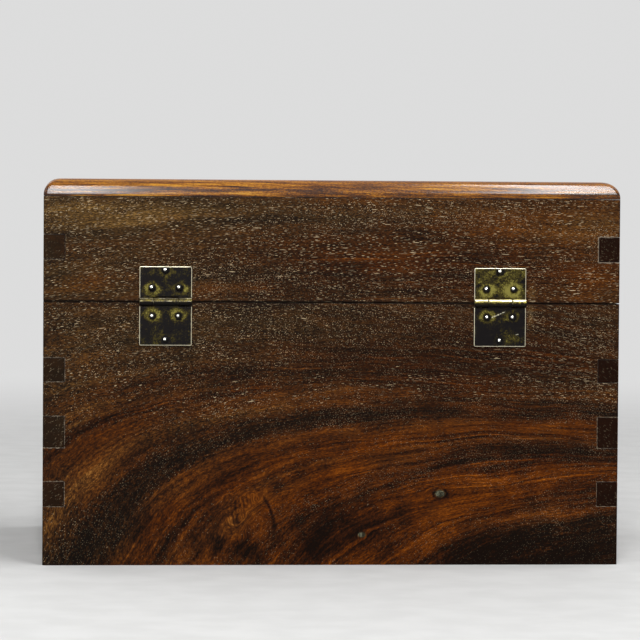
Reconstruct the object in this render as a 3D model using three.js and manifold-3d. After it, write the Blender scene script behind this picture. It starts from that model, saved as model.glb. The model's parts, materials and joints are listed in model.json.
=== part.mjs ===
// A hinged hardwood box. The case and the lid are finger-jointed boards, with a grooved-in bottom
// panel and a thick top board whose edges are rounded. Two brass butt hinges join them at the back,
// and a brass hasp and staple close them at the front.
//
// Millimetres, +Z up. The hinged back faces -Y and the front faces +Y. The origin is on the table,
// under the middle of the case. Left and right are as seen from the hinged back.

import * as THREE from 'three';
import { mergeVertices } from 'three/addons/utils/BufferGeometryUtils.js';
import Module from 'manifold-3d';

const wasm = await Module();
wasm.setup();

// Driving dimensions of the case and the lid
const boxWidth = 300;
const boxDepth = 200;
const caseHeight = 136.5;
const lidHeight = 63.1;
const partingGap = 0.4;
const boardThickness = 11;
const topThickness = 9;
const topRoundRadius = 8.3;
const topCornerRadius = 5;
const cornerEase = 1;

// Finger joints: fingers of the side boards, at a steady pitch about the middle of each wall
const fingerPitch = 32.2;
const fingerRise = 0.9;
const caseFingerWidths = [13, 16.3, 12.3];
const lidFingerWidths = [12.8];

// Bottom panel, whose rebated edge is a tongue in the boards' grooves
const panelThickness = 7;
const panelRise = 4;
const tongueThickness = 4;
const tongueLength = 4;

// Butt hinges
const hingeWidth = 27;
const hingeInset = 63;
const hingeEndKnuckle = 7;
const leafThickness = 1;
const leafCornerRadius = 0.7;
const pinDiameter = 2;
const pinOverhang = 0.25;
const lidLeaf = { height: 18.2, pairSpacing: 14.2, pairHeight: 7.2, lastNailInset: 1.95 };
const caseLeaf = { height: 22.6, pairSpacing: 13.4, pairHeight: 7.6, lastNailInset: 2.9 };

// Nails with domed heads
const lidNail = { headDiameter: 3.6, headHeight: 1.35, shankDiameter: 1.5, length: 8 };
const caseNail = { headDiameter: 3.4, headHeight: 1.1, shankDiameter: 1.5, length: 8 };
const nailRim = 0.2;
const nailPoint = 2.6;

// Hasp on the lid's front, and the staple that its strap drops over
const haspWidth = 22;
const haspEndKnuckle = 5;
const haspRise = 12;
const haspLeaf = { height: 15.5, pairSpacing: 12.6, pairHeight: 6.8, lastNailInset: 2.6 };
const strapWidth = 16;
const strapLength = 35;
const strapTaperLength = 7;
const lipWidth = 9;
const lipRadius = 0.8;
const lipSweep = 200;
const stapleDrop = 24;
const stapleWireDiameter = 1.8;
const stapleLegSpacing = 8;
const stapleReach = 8.1;
const stapleLegDepth = 8;

// Named clearances
const glueLine = 0.1;
const panelPlay = 0.3;
const metalSeat = 0.1;
const headSeat = 0.05;
const pinClearance = 0.08;
const knuckleGap = 0.3;
const knuckleClearance = 0.4;
const rollSeam = 0.25;
const nailClearance = 0.1;
const slotClearance = 0.5;
const strapSwingClearance = 1.2;

// Facet counts
const arcSegments = 10;
const wireSides = 10;
const nailSides = 16;

// Derived places
const wallHeight = lidHeight - topThickness - glueLine;
const knuckleBore = pinDiameter / 2 + pinClearance;
const knuckleRadius = knuckleBore + leafThickness;
const pinStandOff = knuckleRadius + metalSeat;
const pinHeight = caseHeight + partingGap / 2;
const lidBase = caseHeight + partingGap;
const hingeX = boxWidth / 2 - hingeInset;
const haspPinHeight = lidBase + haspRise;
const stapleHeight = haspPinHeight - stapleDrop;

// Finishes
const hardwood = new THREE.MeshStandardMaterial({ color: 0x4a2412, roughness: 0.38, metalness: 0 });
const panelWood = new THREE.MeshStandardMaterial({ color: 0x6b4527, roughness: 0.7, metalness: 0 });
const agedBrass = new THREE.MeshStandardMaterial({ color: 0x7d6636, roughness: 0.42, metalness: 1 });
const nailBrass = new THREE.MeshStandardMaterial({ color: 0xa68545, roughness: 0.35, metalness: 1 });

// Solids and booleans

function toManifold(geometry) {
  const bare = new THREE.BufferGeometry();
  bare.setAttribute('position', geometry.getAttribute('position'));
  bare.setIndex(geometry.index);
  const merged = mergeVertices(bare, 1e-4);
  const corners = merged.index.array;
  const kept = [];
  for (let i = 0; i < corners.length; i += 3) {
    const [a, b, c] = [corners[i], corners[i + 1], corners[i + 2]];
    if (a !== b && b !== c && c !== a) kept.push(a, b, c);
  }
  const mesh = new wasm.Mesh({
    numProp: 3,
    vertProperties: new Float32Array(merged.getAttribute('position').array),
    triVerts: new Uint32Array(kept),
  });
  return new wasm.Manifold(mesh);
}

function toGeometry(solid) {
  const mesh = solid.getMesh();
  const geometry = new THREE.BufferGeometry();
  geometry.setAttribute('position', new THREE.BufferAttribute(mesh.vertProperties, 3));
  geometry.setIndex(new THREE.BufferAttribute(mesh.triVerts, 1));
  geometry.computeVertexNormals();
  return geometry;
}

function withoutCuts(solid, cutters) {
  return cutters.reduce((rest, cutter) => rest.subtract(cutter), solid);
}

function addMesh(group, name, geometry, material) {
  const mesh = new THREE.Mesh(geometry, material);
  mesh.name = name;
  group.add(mesh);
  return mesh;
}

// An outline drawn in X and Z, made thick towards -Y
function extrudeFacingBack(shape, thickness, curveSegments = arcSegments) {
  const geometry = new THREE.ExtrudeGeometry(shape, { depth: thickness, bevelEnabled: false, curveSegments });
  const [x, y, z] = [new THREE.Vector3(1, 0, 0), new THREE.Vector3(0, 1, 0), new THREE.Vector3(0, 0, 1)];
  return geometry.applyMatrix4(new THREE.Matrix4().makeBasis(x, z, y.negate()));
}

// An outline drawn in Y and Z, made thick towards +X
function extrudeAcross(shape, thickness, curveSegments = arcSegments) {
  const geometry = new THREE.ExtrudeGeometry(shape, { depth: thickness, bevelEnabled: false, curveSegments });
  const [x, y, z] = [new THREE.Vector3(1, 0, 0), new THREE.Vector3(0, 1, 0), new THREE.Vector3(0, 0, 1)];
  return geometry.applyMatrix4(new THREE.Matrix4().makeBasis(y, z, x));
}

function roundedRectangle(width, depth, radius) {
  const [x, y] = [width / 2 - radius, depth / 2 - radius];
  const shape = new THREE.Shape();
  shape.absarc(x, y, radius, 0, Math.PI / 2, false);
  shape.absarc(-x, y, radius, Math.PI / 2, Math.PI, false);
  shape.absarc(-x, -y, radius, Math.PI, 1.5 * Math.PI, false);
  shape.absarc(x, -y, radius, 1.5 * Math.PI, 2 * Math.PI, false);
  return shape;
}

// Rings of equal point counts, lowest first, skinned into one closed convex-ended body
function loft(rings) {
  const count = rings[0].length;
  const positions = rings.flat().flatMap((point) => [point.x, point.y, point.z]);
  const triangles = [];
  for (let ring = 0; ring + 1 < rings.length; ring += 1) {
    for (let i = 0; i < count; i += 1) {
      const next = (i + 1) % count;
      const [a, b] = [ring * count + i, ring * count + next];
      triangles.push(a, b, b + count, a, b + count, a + count);
    }
  }
  const last = (rings.length - 1) * count;
  for (let i = 1; i + 1 < count; i += 1) {
    triangles.push(0, i + 1, i);
    triangles.push(last, last + i, last + i + 1);
  }
  const geometry = new THREE.BufferGeometry();
  geometry.setAttribute('position', new THREE.Float32BufferAttribute(positions, 3));
  geometry.setIndex(triangles);
  geometry.computeVertexNormals();
  return geometry;
}

// Boards

// The side boards' fingers, as heights above the lower edge of a wall
function fingerBands(height, widths) {
  const middle = height / 2 + fingerRise;
  return widths.map((width, i) => {
    const centre = middle + (i - (widths.length - 1) / 2) * fingerPitch;
    return { low: centre - width / 2, high: centre + width / 2 };
  });
}

// A board seen square on. Its ends stand at plainEnd, and at bandEnd inside the bands.
function jointedOutline(plainEnd, bandEnd, height, bands) {
  const shape = new THREE.Shape();
  shape.moveTo(-plainEnd, 0);
  shape.lineTo(plainEnd, 0);
  for (const { low, high } of bands) {
    shape.lineTo(plainEnd, low);
    shape.lineTo(bandEnd, low);
    shape.lineTo(bandEnd, high);
    shape.lineTo(plainEnd, high);
  }
  shape.lineTo(plainEnd, height);
  shape.lineTo(-plainEnd, height);
  for (const { low, high } of [...bands].reverse()) {
    shape.lineTo(-plainEnd, high);
    shape.lineTo(-bandEnd, high);
    shape.lineTo(-bandEnd, low);
    shape.lineTo(-plainEnd, low);
  }
  return shape;
}

// Four finger-jointed boards with eased outer corners. cuts holds cutters for each board by name.
function addWalls(group, prefix, height, fingerWidths, cuts) {
  const bands = fingerBands(height, fingerWidths);
  const fingers = bands.map(({ low, high }) => ({ low: low + glueLine, high: high - glueLine }));
  const socketEnd = boxWidth / 2 - boardThickness - glueLine;
  const shoulderEnd = boxDepth / 2 - boardThickness - glueLine;
  const longOutline = jointedOutline(boxWidth / 2, socketEnd, height, bands);
  const sideOutline = jointedOutline(shoulderEnd, boxDepth / 2, height, fingers);
  const blanks = {
    back: extrudeFacingBack(longOutline, boardThickness).translate(0, boardThickness - boxDepth / 2, 0),
    front: extrudeFacingBack(longOutline, boardThickness).translate(0, boxDepth / 2, 0),
    left: extrudeAcross(sideOutline, boardThickness).translate(-boxWidth / 2, 0, 0),
    right: extrudeAcross(sideOutline, boardThickness).translate(boxWidth / 2 - boardThickness, 0, 0),
  };
  const planed = toManifold(
    new THREE.ExtrudeGeometry(roundedRectangle(boxWidth, boxDepth, cornerEase), {
      depth: height,
      bevelEnabled: false,
      curveSegments: 2,
    }),
  );
  for (const [side, blank] of Object.entries(blanks)) {
    const board = withoutCuts(toManifold(blank).intersect(planed), cuts[side] ?? []);
    addMesh(group, `${prefix}_${side}_board`, toGeometry(board), hardwood);
  }
}

// The groove that the bottom panel's tongue runs in, stopped short of the outer faces
function panelGroove() {
  const reach = tongueLength + panelPlay - boardThickness;
  const low = panelRise - metalSeat;
  const high = panelRise + tongueThickness + panelPlay;
  const groove = new THREE.BoxGeometry(boxWidth + 2 * reach, boxDepth + 2 * reach, high - low);
  return toManifold(groove.translate(0, 0, (low + high) / 2));
}

function bottomPanel() {
  const inner = -boardThickness - panelPlay;
  const field = new THREE.BoxGeometry(boxWidth + 2 * inner, boxDepth + 2 * inner, panelThickness);
  const edge = tongueLength - boardThickness;
  const tongue = new THREE.BoxGeometry(boxWidth + 2 * edge, boxDepth + 2 * edge, tongueThickness);
  const fieldSolid = toManifold(field.translate(0, 0, panelRise + panelThickness / 2));
  const tongueSolid = toManifold(tongue.translate(0, 0, panelRise + tongueThickness / 2));
  return toGeometry(fieldSolid.add(tongueSolid));
}

// The lid's top: a thick board whose edges round over, with corners that soften as they rise
function topBoard() {
  const ringAt = (inset, height, radius) => {
    const outline = roundedRectangle(boxWidth - 2 * inset, boxDepth - 2 * inset, radius);
    const points = outline.getPoints(4).slice(0, -1);
    return points.map((point) => new THREE.Vector3(point.x, point.y, height));
  };
  const rings = [ringAt(0, wallHeight + glueLine, cornerEase)];
  for (let step = 0; step <= arcSegments; step += 1) {
    const angle = (step / arcSegments) * (Math.PI / 2);
    const inset = topRoundRadius * (1 - Math.cos(angle));
    const height = lidHeight - topRoundRadius * (1 - Math.sin(angle));
    const share = inset / topRoundRadius;
    rings.push(ringAt(inset, height, cornerEase + (topCornerRadius - cornerEase) * share));
  }
  return loft(rings);
}

// Nails

// A turned outline about +Y: the head stands above 0 and the shank, which tapers, hangs below it
function nailGeometry({ headDiameter, headHeight, shankDiameter, length }) {
  const [head, shank] = [headDiameter / 2, shankDiameter / 2];
  const outline = [
    new THREE.Vector2(0, -length),
    new THREE.Vector2(shank, nailPoint - length),
    new THREE.Vector2(shank, 0),
    new THREE.Vector2(head, 0),
  ];
  const domeSteps = 4;
  for (let step = 0; step <= domeSteps; step += 1) {
    const angle = (step / domeSteps) * (Math.PI / 2);
    const height = nailRim + (headHeight - nailRim) * Math.sin(angle);
    outline.push(new THREE.Vector2(step === domeSteps ? 0 : head * Math.cos(angle), height));
  }
  return new THREE.LatheGeometry(outline, nailSides);
}

// The hole that a nail drives into wood, a clearance wider and deeper than its shank
function nailHole({ shankDiameter, length }) {
  const radius = shankDiameter / 2 + nailClearance;
  const outline = [
    new THREE.Vector2(0, -length - nailClearance),
    new THREE.Vector2(radius, nailPoint - length - nailClearance),
    new THREE.Vector2(radius, headSeat),
    new THREE.Vector2(0, headSeat),
  ];
  return new THREE.LatheGeometry(outline, nailSides);
}

// Leaf nails: a pair near the knuckles and one near the far edge, as places on the leaf
function nailPlaces({ height, pairSpacing, pairHeight, lastNailInset }) {
  return [
    { x: -pairSpacing / 2, z: pairHeight },
    { x: pairSpacing / 2, z: pairHeight },
    { x: 0, z: height - lastNailInset },
  ];
}

// How far a nail head's underside stands out from the wood
const headStandOff = metalSeat + leafThickness + headSeat;

// Cutters for the nails of a leaf. up is +1 for a leaf above its pin and -1 below it, and out is
// the way that the wood faces along Y.
function leafNailCuts({ leaf, nail, pinX, pinZ, up, out }) {
  const y = out * (boxDepth / 2 + headStandOff);
  return nailPlaces(leaf).map(({ x, z }) => {
    const hole = nailHole(nail).rotateX(out > 0 ? 0 : Math.PI);
    return toManifold(hole.translate(pinX + x, y, pinZ + up * z));
  });
}

// Hinge leaves, drawn about the pin: the pin lies along X, the wood is towards +Y and the leaf
// rises along +Z

// A strip rolled round the pin: it comes down its wood side, goes under and returns to a seam
function knuckleProfile(stripTop) {
  const close = -2 * Math.PI + Math.acos((knuckleBore - rollSeam) / knuckleRadius);
  const shape = new THREE.Shape();
  shape.moveTo(knuckleRadius, stripTop);
  shape.lineTo(knuckleRadius, 0);
  shape.absarc(0, 0, knuckleRadius, 0, close, true);
  shape.lineTo(knuckleBore * Math.cos(close), knuckleBore * Math.sin(close));
  shape.absarc(0, 0, knuckleBore, close, 0, false);
  shape.lineTo(knuckleBore, stripTop);
  return shape;
}

const plateStart = knuckleRadius + knuckleClearance;

// A flat plate joined to its knuckles. knuckles lists each one's span along X.
function rolledLeaf(plateShape, knuckles, extras = []) {
  const plate = toManifold(extrudeFacingBack(plateShape, leafThickness).translate(0, knuckleRadius, 0));
  const rolls = knuckles.map(([from, to]) => {
    const roll = extrudeAcross(knuckleProfile(plateStart + leafThickness), to - from, arcSegments);
    return toManifold(roll.translate(from, 0, 0));
  });
  return toGeometry([...rolls, ...extras].reduce((solid, more) => solid.add(more), plate));
}

function endKnuckles(width, endKnuckle) {
  return [
    [-width / 2, endKnuckle - width / 2],
    [width / 2 - endKnuckle, width / 2],
  ];
}

function middleKnuckle(width, endKnuckle) {
  const half = width / 2 - endKnuckle - knuckleGap;
  return [[-half, half]];
}

// A rectangular leaf with nail holes and two eased corners on its far edge
function leafPlate(width, leaf, nail) {
  const [half, ease] = [width / 2, leafCornerRadius];
  const shape = new THREE.Shape();
  shape.moveTo(-half, plateStart);
  shape.lineTo(half, plateStart);
  shape.lineTo(half, leaf.height - ease);
  shape.absarc(half - ease, leaf.height - ease, ease, 0, Math.PI / 2, false);
  shape.lineTo(ease - half, leaf.height);
  shape.absarc(ease - half, leaf.height - ease, ease, Math.PI / 2, Math.PI, false);
  for (const { x, z } of nailPlaces(leaf)) {
    const hole = new THREE.Path();
    hole.absarc(x, z, nail.shankDiameter / 2 + nailClearance, 0, 2 * Math.PI, false);
    shape.holes.push(hole);
  }
  return shape;
}

// The hasp's strap: a tongue with a slot for the staple, narrowing to a lip that curls outwards
function strapPlate() {
  const [half, lip] = [strapWidth / 2, lipWidth / 2];
  const shoulder = strapLength - strapTaperLength;
  const shape = new THREE.Shape();
  shape.moveTo(-half, plateStart);
  shape.lineTo(half, plateStart);
  shape.lineTo(half, shoulder);
  shape.quadraticCurveTo(half, strapLength - lipRadius, lip, strapLength);
  shape.lineTo(-lip, strapLength);
  shape.quadraticCurveTo(-half, strapLength - lipRadius, -half, shoulder);
  const slotHalf = stapleWireDiameter / 2 + slotClearance;
  const wireHalf = (stapleLegSpacing + stapleWireDiameter) / 2;
  const slotNear = stapleDrop - wireHalf - slotClearance + slotHalf;
  const slotFar = stapleDrop + wireHalf + strapSwingClearance - slotHalf;
  const slot = new THREE.Path();
  slot.absarc(0, slotFar, slotHalf, 0, Math.PI, false);
  slot.absarc(0, slotNear, slotHalf, Math.PI, 2 * Math.PI, false);
  shape.holes.push(slot);
  return shape;
}

function strapLip() {
  const outer = lipRadius + leafThickness;
  const sweep = THREE.MathUtils.degToRad(lipSweep);
  const shape = new THREE.Shape();
  shape.absarc(0, 0, outer, 0, sweep, false);
  shape.absarc(0, 0, lipRadius, sweep, 0, true);
  const lip = extrudeAcross(shape, lipWidth, 6);
  return toManifold(lip.translate(-lipWidth / 2, knuckleBore - lipRadius, strapLength));
}

function hingePin(width) {
  const [radius, half] = [pinDiameter / 2, width / 2];
  const outline = [
    new THREE.Vector2(0, -half - pinOverhang),
    new THREE.Vector2(radius / 2, -half - pinOverhang),
    new THREE.Vector2(radius, -half),
    new THREE.Vector2(radius, half),
    new THREE.Vector2(radius / 2, half + pinOverhang),
    new THREE.Vector2(0, half + pinOverhang),
  ];
  return new THREE.LatheGeometry(outline, 2 * arcSegments).rotateZ(Math.PI / 2);
}

// A leaf with its nails. below turns it over to hang under the pin.
function addLeaf(group, prefix, { width, knuckles, leaf, nail, below }) {
  const half = new THREE.Group();
  half.rotation.y = below ? Math.PI : 0;
  group.add(half);
  addMesh(half, `${prefix}_leaf`, rolledLeaf(leafPlate(width, leaf, nail), knuckles), agedBrass);
  nailPlaces(leaf).forEach(({ x, z }, i) => {
    const mesh = addMesh(half, `${prefix}_nail_${i + 1}`, nailGeometry(nail), nailBrass);
    mesh.position.set(x, knuckleBore - headSeat, z);
    mesh.rotation.x = Math.PI;
  });
}

// A butt hinge, whose lid leaf has the end knuckles and whose case leaf has the middle one
function addHinge(parent, name, x) {
  const group = new THREE.Group();
  group.position.set(x, -boxDepth / 2 - pinStandOff, pinHeight);
  parent.add(group);
  addLeaf(group, `${name}_lid`, {
    width: hingeWidth,
    knuckles: endKnuckles(hingeWidth, hingeEndKnuckle),
    leaf: lidLeaf,
    nail: lidNail,
    below: false,
  });
  addLeaf(group, `${name}_case`, {
    width: hingeWidth,
    knuckles: middleKnuckle(hingeWidth, hingeEndKnuckle),
    leaf: caseLeaf,
    nail: caseNail,
    below: true,
  });
  addMesh(group, `${name}_pin`, hingePin(hingeWidth), agedBrass);
}

// The hasp: a small leaf nailed to the lid, and a slotted strap that hangs from its pin
function addHasp(parent) {
  const group = new THREE.Group();
  group.position.set(0, boxDepth / 2 + pinStandOff, haspPinHeight);
  group.rotation.z = Math.PI;
  parent.add(group);
  addLeaf(group, 'hasp', {
    width: haspWidth,
    knuckles: endKnuckles(haspWidth, haspEndKnuckle),
    leaf: haspLeaf,
    nail: lidNail,
    below: false,
  });
  const strap = rolledLeaf(strapPlate(), middleKnuckle(haspWidth, haspEndKnuckle), [strapLip()]);
  addMesh(group, 'hasp_strap', strap, agedBrass).rotation.y = Math.PI;
  addMesh(group, 'hasp_pin', hingePin(haspWidth), agedBrass);
}

// Staple: a round wire bent into a U, whose legs are driven into the case's front

class StaplePath extends THREE.Curve {
  getPoint(share) {
    const bend = stapleLegSpacing / 2;
    const straight = stapleReach - stapleWireDiameter / 2 - bend + stapleLegDepth;
    const along = share * (2 * straight + Math.PI * bend);
    if (along < straight) return new THREE.Vector3(0, along - stapleLegDepth, -bend);
    if (along > straight + Math.PI * bend) {
      const back = 2 * straight + Math.PI * bend - along;
      return new THREE.Vector3(0, back - stapleLegDepth, bend);
    }
    const angle = (along - straight) / bend;
    const centre = straight - stapleLegDepth;
    return new THREE.Vector3(0, centre + bend * Math.sin(angle), -bend * Math.cos(angle));
  }
}

function stapleGeometry() {
  const section = new THREE.Shape();
  section.absarc(0, 0, stapleWireDiameter / 2, 0, 2 * Math.PI, false);
  return new THREE.ExtrudeGeometry(section, {
    steps: 28,
    extrudePath: new StaplePath(),
    bevelEnabled: false,
    curveSegments: wireSides / 2,
  });
}

function stapleCuts() {
  const radius = stapleWireDiameter / 2 + nailClearance;
  const depth = stapleLegDepth + nailClearance;
  return [-1, 1].map((side) => {
    const hole = new THREE.CylinderGeometry(radius, radius, depth + metalSeat, nailSides);
    const y = boxDepth / 2 + metalSeat - (depth + metalSeat) / 2;
    return toManifold(hole.translate(0, y, stapleHeight + (side * stapleLegSpacing) / 2));
  });
}

function addStaple(parent) {
  addMesh(parent, 'staple', stapleGeometry(), agedBrass).position.set(0, boxDepth / 2, stapleHeight);
}

// Assembly

function hingeNailCuts(leaf, nail, pinZ, up) {
  return [-hingeX, hingeX].flatMap((pinX) => leafNailCuts({ leaf, nail, pinX, pinZ, up, out: -1 }));
}

const box = new THREE.Group();
const lid = new THREE.Group();
lid.position.z = lidBase;
box.add(lid);

const groove = panelGroove();
addWalls(box, 'case', caseHeight, caseFingerWidths, {
  back: [groove, ...hingeNailCuts(caseLeaf, caseNail, pinHeight, -1)],
  front: [groove, ...stapleCuts()],
  left: [groove],
  right: [groove],
});
addMesh(box, 'case_bottom_panel', bottomPanel(), panelWood);

addWalls(lid, 'lid', wallHeight, lidFingerWidths, {
  back: hingeNailCuts(lidLeaf, lidNail, pinHeight - lidBase, 1),
  front: leafNailCuts({ leaf: haspLeaf, nail: lidNail, pinX: 0, pinZ: haspRise, up: 1, out: 1 }),
});
addMesh(lid, 'lid_top_board', topBoard(), hardwood);

addHinge(box, 'hinge_left', -hingeX);
addHinge(box, 'hinge_right', hingeX);
addHasp(box);
addStaple(box);

export default box;
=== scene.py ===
import json
import math
from contextlib import contextmanager
from dataclasses import dataclass

import bmesh
import bpy
import numpy as np
from mathutils import Matrix, Vector

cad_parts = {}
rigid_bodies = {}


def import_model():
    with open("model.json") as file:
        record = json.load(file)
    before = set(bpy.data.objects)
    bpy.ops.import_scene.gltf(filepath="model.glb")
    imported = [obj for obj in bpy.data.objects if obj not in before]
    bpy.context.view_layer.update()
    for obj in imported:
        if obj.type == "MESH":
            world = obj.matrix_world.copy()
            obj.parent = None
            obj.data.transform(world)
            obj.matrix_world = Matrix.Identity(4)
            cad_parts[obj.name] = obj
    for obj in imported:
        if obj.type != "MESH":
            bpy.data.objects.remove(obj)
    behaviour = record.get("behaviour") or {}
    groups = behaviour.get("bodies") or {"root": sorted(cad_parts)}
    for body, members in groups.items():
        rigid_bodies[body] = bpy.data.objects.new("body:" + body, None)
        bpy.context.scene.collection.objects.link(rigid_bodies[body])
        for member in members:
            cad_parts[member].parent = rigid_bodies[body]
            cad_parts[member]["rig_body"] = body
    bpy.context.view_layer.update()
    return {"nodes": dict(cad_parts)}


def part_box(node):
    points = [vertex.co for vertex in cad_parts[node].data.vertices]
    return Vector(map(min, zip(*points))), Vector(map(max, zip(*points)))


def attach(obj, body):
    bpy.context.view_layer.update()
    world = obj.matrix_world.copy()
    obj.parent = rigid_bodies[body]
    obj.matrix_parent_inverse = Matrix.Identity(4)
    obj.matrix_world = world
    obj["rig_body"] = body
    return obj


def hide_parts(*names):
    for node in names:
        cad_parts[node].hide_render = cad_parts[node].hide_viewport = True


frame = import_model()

# Everything is worked out in millimetres and scaled to metres when a mesh is placed.
MM = 0.001
# Two places that are this near to one another are the same
close_by = 0.001


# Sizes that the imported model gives

def corners(node):
    """The lowest and highest corner of a node, in millimetres."""
    low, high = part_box(node)
    return np.array(low) / MM, np.array(high) / MM


case_low, case_high = corners("case_back_board")
lid_low, lid_high = corners("lid_back_board")
top_low, top_high = corners("lid_top_board")
panel_low, panel_high = corners("case_bottom_panel")
half_width = case_high[0]
half_depth = -case_low[1]
board_thickness = case_high[1] - case_low[1]

# Finger joints: the glue line, the spacing of the fingers, how far their middle is above the wall's middle,
# and how high each one is
glue_line = 0.1
finger_pitch = 32.2
finger_rise = 0.9
case_finger_widths = (13, 16.3, 12.3)
lid_finger_widths = (12.8,)

# Edges
corner_ease = 1.0
edge_round = 0.3
joint_chamfer = 0.15
# How far the painted shade beside the parting line of lid and case reaches
parting_shade_reach = 0.8
top_round_radius = 8.3
top_corner_radius = 5.0
top_arc_steps = 14

# Bottom panel
tongue_thickness = 4
panel_play = 0.3

# Hinges and hasp
leaf_thickness = 1.0
pin_radius = 1.0
pin_chamfer = 0.25
knuckle_bore = 1.08
knuckle_radius = knuckle_bore + leaf_thickness
knuckle_clearance = 0.4
knuckle_gap = 0.3
roll_seam = 0.25
head_seat = 0.05
leaf_corner_radius = 0.7
plate_start = knuckle_radius + knuckle_clearance
hinge_end_knuckle = 7
hasp_end_knuckle = 5
strap_width = 16
strap_length = 35
strap_taper = 7
lip_width = 9
lip_radius = 0.8
lip_sweep = math.radians(200)
slot_half = 1.4
slot_near = 20.0
slot_far = 28.7
leaf_edge_round = 0.16
leaf_rim = 0.4
leaf_step = 0.6
nail_tip_radius = 0.03
hammered_flats = 3

# Staple
staple_wire_radius = 0.9
staple_leg_spacing = 8
staple_reach = 8.1
staple_leg_depth = 8


@dataclass
class LeafNails:
    """Where a leaf's nails are: a pair near the knuckles and one near the far edge."""
    pair_spacing: float
    pair_height: float
    last_height: float

    def places(self):
        half = self.pair_spacing / 2
        return [(-half, self.pair_height), (half, self.pair_height), (0, self.last_height)]


@dataclass
class Nail:
    head_radius: float
    head_height: float
    shank_radius: float
    length: float
    rim: float = 0.2
    point: float = 2.6


lid_leaf_nails = LeafNails(pair_spacing=14.2, pair_height=7.2, last_height=16.25)
case_leaf_nails = LeafNails(pair_spacing=13.4, pair_height=7.6, last_height=19.7)
hasp_leaf_nails = LeafNails(pair_spacing=12.6, pair_height=6.8, last_height=12.9)
lid_nail = Nail(head_radius=1.8, head_height=1.35, shank_radius=0.75, length=8)
case_nail = Nail(head_radius=1.7, head_height=1.1, shank_radius=0.75, length=8)

# Scratches on the right hinge's case leaf: each from one place across and down from the pin to another
hinge_scratches = (((4.7, 7.6), (-2.6, 4.5)), ((-8.2, 16.4), (-9.7, 16.4)))
scratch_reach = 0.3


# Camera, at the photograph's viewing place

focal_length_px = 3300
picture_px = 640
camera_place = Vector((-0.14002, -1.80541, 0.19313))
camera_yaw = math.radians(4.4636)
camera_pitch = math.radians(2.1956)
camera_roll = math.radians(0.4131)


def add_object(name, data):
    made = bpy.data.objects.new(name, data)
    bpy.context.scene.collection.objects.link(made)
    return made


def add_camera():
    data = bpy.data.cameras.new("camera")
    data.sensor_width = 36
    data.lens = focal_length_px / picture_px * data.sensor_width
    data.clip_start = 0.05
    data.clip_end = 50
    forward = Vector((
        math.sin(camera_yaw) * math.cos(camera_pitch),
        math.cos(camera_yaw) * math.cos(camera_pitch),
        -math.sin(camera_pitch),
    ))
    right = Vector((math.cos(camera_yaw), -math.sin(camera_yaw), 0))
    turn = Matrix.Rotation(-camera_roll, 3, forward)
    level_axes = (right, right.cross(forward), -forward)
    axes = Matrix([turn @ axis for axis in level_axes]).transposed()
    camera = add_object("camera", data)
    camera.matrix_world = Matrix.Translation(camera_place) @ axes.to_4x4()
    bpy.context.scene.camera = camera


# Node graphs

def screen_colour(red, green, blue):
    """A linear colour from its screen values of 0 to 255."""
    def one(value):
        value /= 255
        return value / 12.92 if value <= 0.04045 else ((value + 0.055) / 1.055) ** 2.4
    return (one(red), one(green), one(blue), 1.0)


class Value:
    """A number, vector or colour in a node graph, for plain arithmetic with others."""

    def __init__(self, graph, socket):
        self.graph = graph
        self.socket = socket

    def __add__(self, other):
        return self.graph.math("ADD", self, other)

    def __sub__(self, other):
        return self.graph.math("SUBTRACT", self, other)

    def __rsub__(self, other):
        return self.graph.math("SUBTRACT", other, self)

    def __mul__(self, other):
        return self.graph.math("MULTIPLY", self, other)

    def clamped(self):
        return self.graph.math("ADD", self, 0.0, clamp=True)

    def output(self, name):
        """Another output of the same node."""
        return Value(self.graph, self.socket.node.outputs[name])

    def swing(self, amount, middle=0.5):
        """The departure from a middle, times an amount."""
        return (self - middle) * amount

    def window(self, low, high):
        """0 up to low, 1 from high on, and a smooth step between. High may be below low."""
        inputs = {"Value": self, "From Min": low, "From Max": high}
        return self.graph.node("ShaderNodeMapRange", inputs, interpolation_type="SMOOTHSTEP")


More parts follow.
